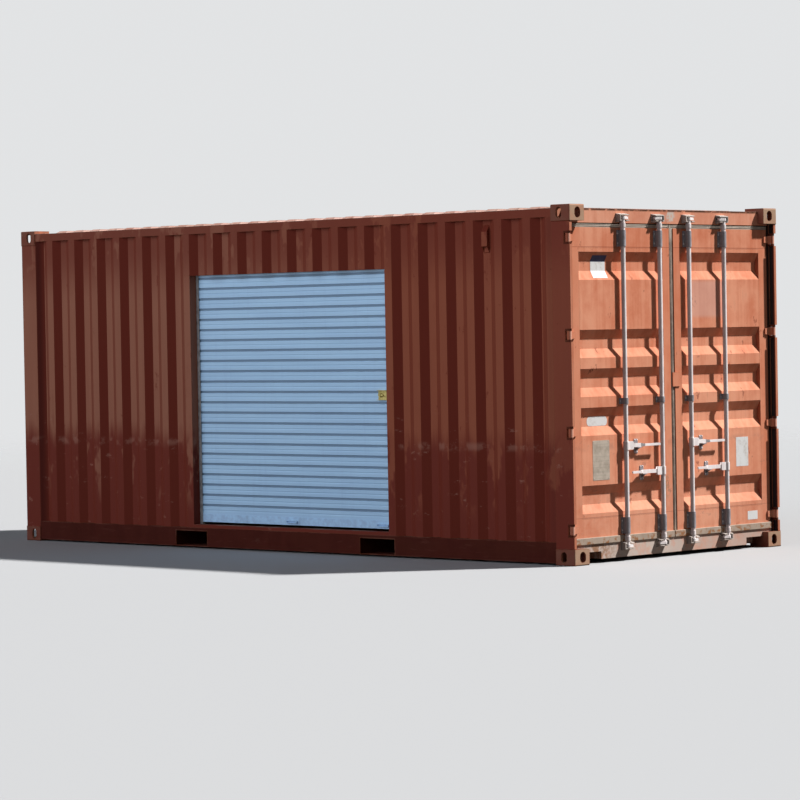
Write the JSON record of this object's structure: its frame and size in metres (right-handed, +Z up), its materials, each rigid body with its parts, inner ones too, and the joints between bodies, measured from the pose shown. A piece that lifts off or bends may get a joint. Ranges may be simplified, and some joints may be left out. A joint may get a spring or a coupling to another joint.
{
  "type": "shipping container with a side roller shutter",
  "caption": "Steel dry-cargo container with hinged cargo doors and locking bars at one end and a roller shutter in one long side.",
  "frame": {"origin": "centre of the container's footprint, on the ground plane under the corner castings", "axes": "+X along the length towards the cargo doors, +Y across, away from the side with the roller shutter, +Z up"},
  "size_m": [6.058, 2.438, 2.591],
  "materials": {
    "end_paint": "faded semi-gloss orange red, sun bleached",
    "side_paint": "weathered brown red with pale scuffs",
    "roof_paint": "chalky faded red",
    "underbody_paint": "matt dark underbody coating",
    "timber": "worn plywood",
    "galvanised": "dull galvanised",
    "curtain_enamel": "satin white enamel",
    "zinc": "yellow zinc plate",
    "gasket": "dusty grey rubber"
  },
  "bodies": {
    "container": {"bottom_corner_castings": "end_paint", "top_corner_castings": "end_paint", "front_corner_posts": "side_paint", "rear_corner_posts": "end_paint", "top_side_rails": "side_paint", "bottom_side_rails": "side_paint", "front_top_rail": "side_paint", "front_bottom_rail": "side_paint", "door_header": "end_paint", "door_sill": "end_paint", "cross_members": "underbody_paint", "fork_pockets": "side_paint", "floor_boards": "timber", "roof_sheet": "roof_paint", "roof_corner_plates": "roof_paint", "side_wall_front_part": "side_paint", "side_wall_rear_part": "side_paint", "side_wall_over_shutter": "side_paint", "far_side_wall": "side_paint", "front_wall": "side_paint", "shutter_frame": "side_paint", "shutter_guides": "galvanised", "shutter_curtain": "curtain_enamel", "shutter_bottom_bar": "curtain_enamel", "shutter_coil": "curtain_enamel", "shutter_latch": "zinc", "vents": "side_paint", "hinge_lugs": "galvanised", "bar_keepers": "galvanised"},
    "left_door": {"left_door_frame": "end_paint", "left_door_panel": "end_paint", "left_door_gasket": "gasket", "left_door_brackets": "galvanised"},
    "right_door": {"right_door_frame": "end_paint", "right_door_panel": "end_paint", "right_door_gasket": "gasket", "right_door_brackets": "galvanised"},
    "bar_1": {"locking_bar_1": "galvanised"},
    "lever_1": {"handle_1": "galvanised"},
    "bar_2": {"locking_bar_2": "galvanised"},
    "lever_2": {"handle_2": "galvanised"},
    "bar_3": {"locking_bar_3": "galvanised"},
    "lever_3": {"handle_3": "galvanised"},
    "bar_4": {"locking_bar_4": "galvanised"},
    "lever_4": {"handle_4": "galvanised"}
  },
  "joints": [
    {"name": "left_door_hinge", "type": "hinge", "parent": "container", "child": "left_door", "pos_m": [2.998, -1.2, 0.2515], "axis": [0, 0, 1], "range_deg": [-265, 0]},
    {"name": "right_door_hinge", "type": "hinge", "parent": "container", "child": "right_door", "pos_m": [2.998, 1.2, 0.2515], "axis": [0, 0, -1], "range_deg": [-265, 0]},
    {"name": "bar_1_turn", "type": "hinge", "parent": "left_door", "child": "bar_1", "pos_m": [3.001, -0.592, 1.3], "axis": [0, 0, -1], "range_deg": [0, 110]},
    {"name": "bar_2_turn", "type": "hinge", "parent": "left_door", "child": "bar_2", "pos_m": [3.001, -0.172, 1.3], "axis": [0, 0, 1], "range_deg": [0, 110]},
    {"name": "bar_3_turn", "type": "hinge", "parent": "right_door", "child": "bar_3", "pos_m": [3.001, 0.172, 1.3], "axis": [0, 0, -1], "range_deg": [0, 110]},
    {"name": "bar_4_turn", "type": "hinge", "parent": "right_door", "child": "bar_4", "pos_m": [3.001, 0.592, 1.3], "axis": [0, 0, 1], "range_deg": [0, 110]},
    {"name": "lever_1_lift", "type": "hinge", "parent": "bar_1", "child": "lever_1", "pos_m": [3.001, -0.552, 0.84], "axis": [1, 0, 0], "range_deg": [0, 25]},
    {"name": "lever_2_lift", "type": "hinge", "parent": "bar_2", "child": "lever_2", "pos_m": [3.001, -0.212, 0.643], "axis": [-1, 0, 0], "range_deg": [0, 25]},
    {"name": "lever_3_lift", "type": "hinge", "parent": "bar_3", "child": "lever_3", "pos_m": [3.001, 0.212, 0.84], "axis": [1, 0, 0], "range_deg": [0, 25]},
    {"name": "lever_4_lift", "type": "hinge", "parent": "bar_4", "child": "lever_4", "pos_m": [3.001, 0.552, 0.643], "axis": [-1, 0, 0], "range_deg": [0, 25]}
  ]
}
